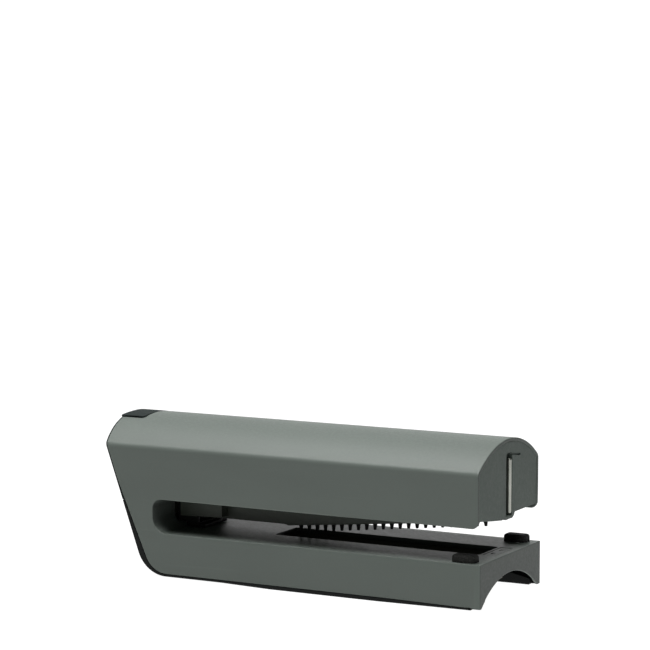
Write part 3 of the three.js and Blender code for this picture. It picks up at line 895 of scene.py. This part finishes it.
def end_cap():
    """The black lid over the rear: a flange behind the grey, a panel and skirt inside it, and the tongue."""
    low = SPLIT + 0.15
    high = HEIGHT + 8
    gap = 0.06
    behind = prism([
        (rear_outer(low), low),
        (rear_outer(high), high),
        (rear_grey(high) - gap, high),
        (rear_grey(MERGE) - gap, MERGE),
        (rear_grey(low) - gap, low),
    ], "y", -HALF - 2, HALF + 2)
    inside = prism([
        (rear_outer(low + 0.6) + 0.2, low + 0.6),
        (rear_outer(high) + 0.2, high),
        (rear_outer(high) + 2.4, high),
        (rear_outer(low + 0.6) + 2.4, low + 0.6),
    ], "y", -HALF - 2, HALF + 2)
    flange = common(arch(0.03, low - 5), behind)
    panel = common(arch(ARM_WALL + 0.15, low - 5), inside)
    flush = [(y, CROWN_CENTRE + math.sqrt((CROWN_RADIUS + 0.05) ** 2 - y * y)) for y in range(1, 15)]
    top = [(y, HEIGHT - y * y * 0.0052) for y in range(-14, 1)] + flush
    tongue = common(
        cut(prism([(-14, 40), *top, (14, 40)], "x", -FAR, FAR), arch(3.4, 35)),
        prism(notch(0.12), "z", SHOULDER + 2, HEIGHT + 5),
        prism([
            (rear_outer(50) - 0.35, 50), (-60, 50), (-60, high), (REAR, high), (REAR, HEIGHT - 1),
        ], "y", -HALF, HALF),
    )
    foot, joined = 29, low + 1
    skirt = prism([
        (rear_outer(foot) + 1.5, foot),
        (rear_outer(joined) + 1.5, joined),
        (rear_outer(joined) + 2.3, joined),
        (rear_outer(foot) + 2.3, foot),
    ], "y", -24, 24)
    body = join(flange, panel, tongue, skirt)
    lean = Matrix.Rotation(-math.atan(REAR_LEAN), 4, "Y")
    line = rounded([(-17, -0.6, 0.55), (17, -0.6, 0.55), (17, 0.6, 0.55), (-17, 0.6, 0.55)], 20)
    for z in GRIP_HEIGHTS:
        groove = prism(line, "x", -1.2, 1.2)
        groove.data.transform(Matrix.Translation((rear_outer(z) - 0.8, 0, z)) @ lean)
        body = cut(body, groove)
    soften(clean(body), 0.22, 2)
    return finished("end_cap", body, "press_arm", CAP, ("rear_end_cap",))


def front_plate():
    """The dark plate that closes the arm's front, with the rod's groove and a boss at its lower edge."""
    back, face = plate_low.x, ARM_FRONT - 0.3
    lower = rounded([
        (-HALF, 36.2),
        (-16, 34.1, 6),
        (-6.2, 32.9, 0.8),
        (-3.7, 33.2),
        (-2.7, 32.5, 0.4),
        (4.4, 32.4, 0.8),
        (6, 33.2, 0.5),
        (7, 34.6, 0.5),
        (HALF, 34.7),
        (HALF, HEIGHT + 4),
        (-HALF, HEIGHT + 4),
    ], 10)
    body = common(arch(ARM_WALL + 0.3, 30, 1.2, back, face), prism(lower, "x", back - 1, face + 1))
    groove = [(-2.2, rod_low.z - 0.6), (-2.2, 60.4, 1.2), (3.8, 60.4, 1.2), (3.8, rod_low.z - 0.6)]
    slot = [(2.5, 59.4), (2.5, 60.2), (12.4, 58.7, 0.38), (12.4, 57.9, 0.38)]
    body = cut(
        body,
        prism(rounded(groove, 12), "x", face - 2.1, FAR),
        prism(rounded(slot, 20), "x", face - 0.9, FAR),
    )
    soften(clean(body), 0.22, 2)
    return finished("nose_plate", body, "press_arm", DARK, ("front_plate",))


def guide_rod():
    low, high = mm_box("guide_rod")
    x, y = (low.x + high.x) / 2, (low.y + high.y) / 2
    radius = (high.x - low.x) / 2
    profile = [(0, low.z)]
    for turn in (math.radians(30), math.radians(60), math.radians(90)):
        profile.append((radius * math.sin(turn), low.z + radius * (1 - math.cos(turn))))
    profile.append((radius, high.z - radius))
    for turn in (math.radians(30), math.radians(60)):
        profile.append((radius * math.cos(turn), high.z - radius * (1 - math.sin(turn))))
    profile.append((0, high.z))
    body = turned(profile, x, y, 0, 32)
    return finished("guide_pin", body, "press_arm", BRIGHT, ("guide_rod",), 60)


def staples():
    """The strip as single staples, 0.5 mm apart."""
    low, high = mm_box("staple_strip")
    wire = 0.6
    outline = [
        (low.y, low.z),
        (low.y, high.z),
        (high.y, high.z),
        (high.y, low.z),
        (high.y - wire, low.z),
        (high.y - wire, high.z - wire),
        (low.y + wire, high.z - wire),
        (low.y + wire, low.z),
    ]
    bm = bmesh.new()
    count = int((high.x - low.x) / 0.5)
    for i in range(count):
        x = high.x - 0.5 * i
        rings = [[bm.verts.new((x - d, a, b)) for a, b in outline] for d in (0.02, 0.48)]
        for j in range(8):
            k = (j + 1) % 8
            bm.faces.new((rings[0][j], rings[0][k], rings[1][k], rings[1][j]))
        bm.faces.new(rings[0])
        bm.faces.new(rings[1])
    body = from_bmesh("work", bm)
    return finished("staples", body, "press_arm", BRIGHT, ("staple_strip",), 30)


def coil():
    """The pusher's spring, built at one length. The real one shortens as the pusher slides back."""
    low, high = mm_box("pusher_spring")
    y, z = 0, 44.4
    radius, wire, turns, around = 1.3, 0.22, 14, 8
    steps = turns * 20
    bm = bmesh.new()
    rows = []
    for i in range(steps + 1):
        share = i / steps
        angle = 2 * math.pi * turns * share
        x = low.x + 0.3 + (high.x - low.x - 0.6) * share
        row = []
        for j in range(around):
            turn = 2 * math.pi * j / around
            out = radius + wire * math.cos(turn)
            along = x + wire * math.sin(turn)
            row.append(bm.verts.new((along, y + out * math.cos(angle), z + out * math.sin(angle))))
        rows.append(row)
    for first, second in zip(rows, rows[1:]):
        for j in range(around):
            k = (j + 1) % around
            bm.faces.new((first[j], first[k], second[k], second[j]))
    bm.faces.new(rows[0])
    bm.faces.new(rows[-1])
    body = from_bmesh("work", bm)
    finished("coil_spring", body, "press_arm", WIRE, ("pusher_spring",), 80)
    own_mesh(body)


def leaf():
    """The leaf that pushes the presser down, built in one shape. The real one flattens as the arm comes
    down.
    """
    low, high = mm_box("presser_leaf_spring")
    top = [
        (-30, 35.8),
        (-22, 35.5),
        (-16, 34.7),
        (-10, 32.9),
        (-4, 30.6),
        (1, 28.7),
        (5, 27.9),
        (9, 28.2),
        (14, 29.4),
    ]
    bottom = [(x, z - 0.5) for x, z in reversed(top)]
    body = soften(prism(top + bottom, "y", low.y, high.y), 0.1, 2)
    piece = finished("presser_leaf", body, "press_arm", WIRE, ("presser_leaf_spring",))
    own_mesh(piece)


# ---------------------------------------------------------------- CAD nodes kept as they are

KEPT = {
    "arm_chassis": (INNER, 0.3),
    "magazine_channel": (ZINC, 0.15),
    "staple_rail": (ZINC, 0.15),
    "pusher": (BLACK, 0.15),
    "lever_bracket": (OXIDE, 0.25),
    "lever_pin": (BRIGHT, 0.2),
    "driver_lever": (OXIDE, 0.3),
    "lever_foot": (BRIGHT, 0.2),
    "driver_blade": (BRIGHT, 0.08),
    "bracket_screw_right": (ZINC, 0.15),
    "bracket_screw_left": (ZINC, 0.15),
}


def dress_kept_nodes():
    for name, (material, width) in KEPT.items():
        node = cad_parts[name]
        node.data.materials.clear()
        node.data.materials.append(material)
        modifier = node.modifiers.new("edges", "BEVEL")
        modifier.width = width * MM
        modifier.segments = 2
        modifier.limit_method = "ANGLE"
        modifier.angle_limit = math.radians(32)
        modifier.use_clamp_overlap = True


# ---------------------------------------------------------------- floor, light and camera


def stage():
    """A white floor that glows a little, so that it stays nearly free of shadow."""
    mesh = bpy.data.meshes.new("floor")
    mesh.from_pydata([(-9, -9, 0), (9, -9, 0), (9, 30, 0), (-9, 30, 0)], [], [(0, 1, 2, 3)])
    floor = bpy.data.objects.new("floor", mesh)
    SCENE.collection.objects.link(floor)
    n = Nodes("floor_white")
    n.set(
        Base_Color=n.mix(n.between(n.noise(3), 0, 1), (0.09, 0.09, 0.09, 1), (0.11, 0.11, 0.11, 1)),
        Roughness=0.9,
        Emission_Color=(1, 1, 1, 1),
        Emission_Strength=1.0,
    )
    n.shader.inputs["Specular IOR Level"].default_value = 0.1
    mesh.materials.append(n.material)


def softbox(name, place, target, size, power):
    light = bpy.data.lights.new(name, "AREA")
    light.shape = "RECTANGLE"
    light.size, light.size_y = size
    light.energy = power
    obj = bpy.data.objects.new(name, light)
    obj.location = place
    obj.rotation_mode = "QUATERNION"
    obj.rotation_quaternion = (Vector(target) - Vector(place)).to_track_quat("-Z", "Y")
    SCENE.collection.objects.link(obj)


def lights():
    """A bright studio behind the object, a softbox above it and faint ones on its far and near side."""
    world = bpy.data.worlds.new("studio")
    world.use_nodes = True
    SCENE.world = world
    tree = world.node_tree
    background = tree.nodes["Background"]
    direction = tree.nodes.new("ShaderNodeTexCoord").outputs["Generated"]
    facing = tree.nodes.new("ShaderNodeVectorMath")
    facing.operation = "DOT_PRODUCT"
    tree.links.new(direction, facing.inputs[0])
    facing.inputs[1].default_value = (-0.42, 0.8, -0.45)
    strength = tree.nodes.new("ShaderNodeMapRange")
    strength.interpolation_type = "SMOOTHSTEP"
    tree.links.new(facing.outputs["Value"], strength.inputs["Value"])
    strength.inputs["From Min"].default_value = 0.45
    strength.inputs["From Max"].default_value = 0.86
    strength.inputs["To Min"].default_value = 0.05
    strength.inputs["To Max"].default_value = 1.1
    tree.links.new(strength.outputs[0], background.inputs["Strength"])
    background.inputs["Color"].default_value = (1, 1, 1, 1)
    softbox("overhead", (-0.2, 0, 1.15), (0, 0, 0.04), (0.8, 1.0), 23)
    softbox("far", (-0.2, 1.1, 0.62), (0, 0, 0.03), (0.9, 0.4), 0.45)
    softbox("near", (0.27, -0.27, 0.62), (0.06, 0, 0.04), (0.15, 0.15), 1.4)


def camera():
    """A long lens, 28 degrees round from the side and 5.9 degrees down."""
    azimuth, elevation = math.radians(27.955), math.radians(5.887)
    data = bpy.data.cameras.new("camera")
    data.lens = 141.4
    data.sensor_width = 36
    data.clip_start, data.clip_end = 0.05, 60
    obj = bpy.data.objects.new("camera", data)
    obj.location = (0.5152, -0.96288, 0.22205 + LIFT * MM)
    ahead = Vector((
        -math.sin(azimuth) * math.cos(elevation),
        math.cos(azimuth) * math.cos(elevation),
        -math.sin(elevation),
    ))
    obj.rotation_mode = "QUATERNION"
    obj.rotation_quaternion = ahead.to_track_quat("-Z", "Y")
    SCENE.collection.objects.link(obj)
    SCENE.camera = obj
    SCENE.view_settings.view_transform = "Standard"


# ---------------------------------------------------------------- everything

camera()
lights()
stage()

casing()
bottom_cover()
trough()
anvil()
bumpers()
feet()
screws()
bracket()
bracket_shields()
presser_pin()
neck_springs()
toothed_strip()
presser_arm()
end_cap()
front_plate()
guide_rod()
staples()
coil()
leaf()
dress_kept_nodes()
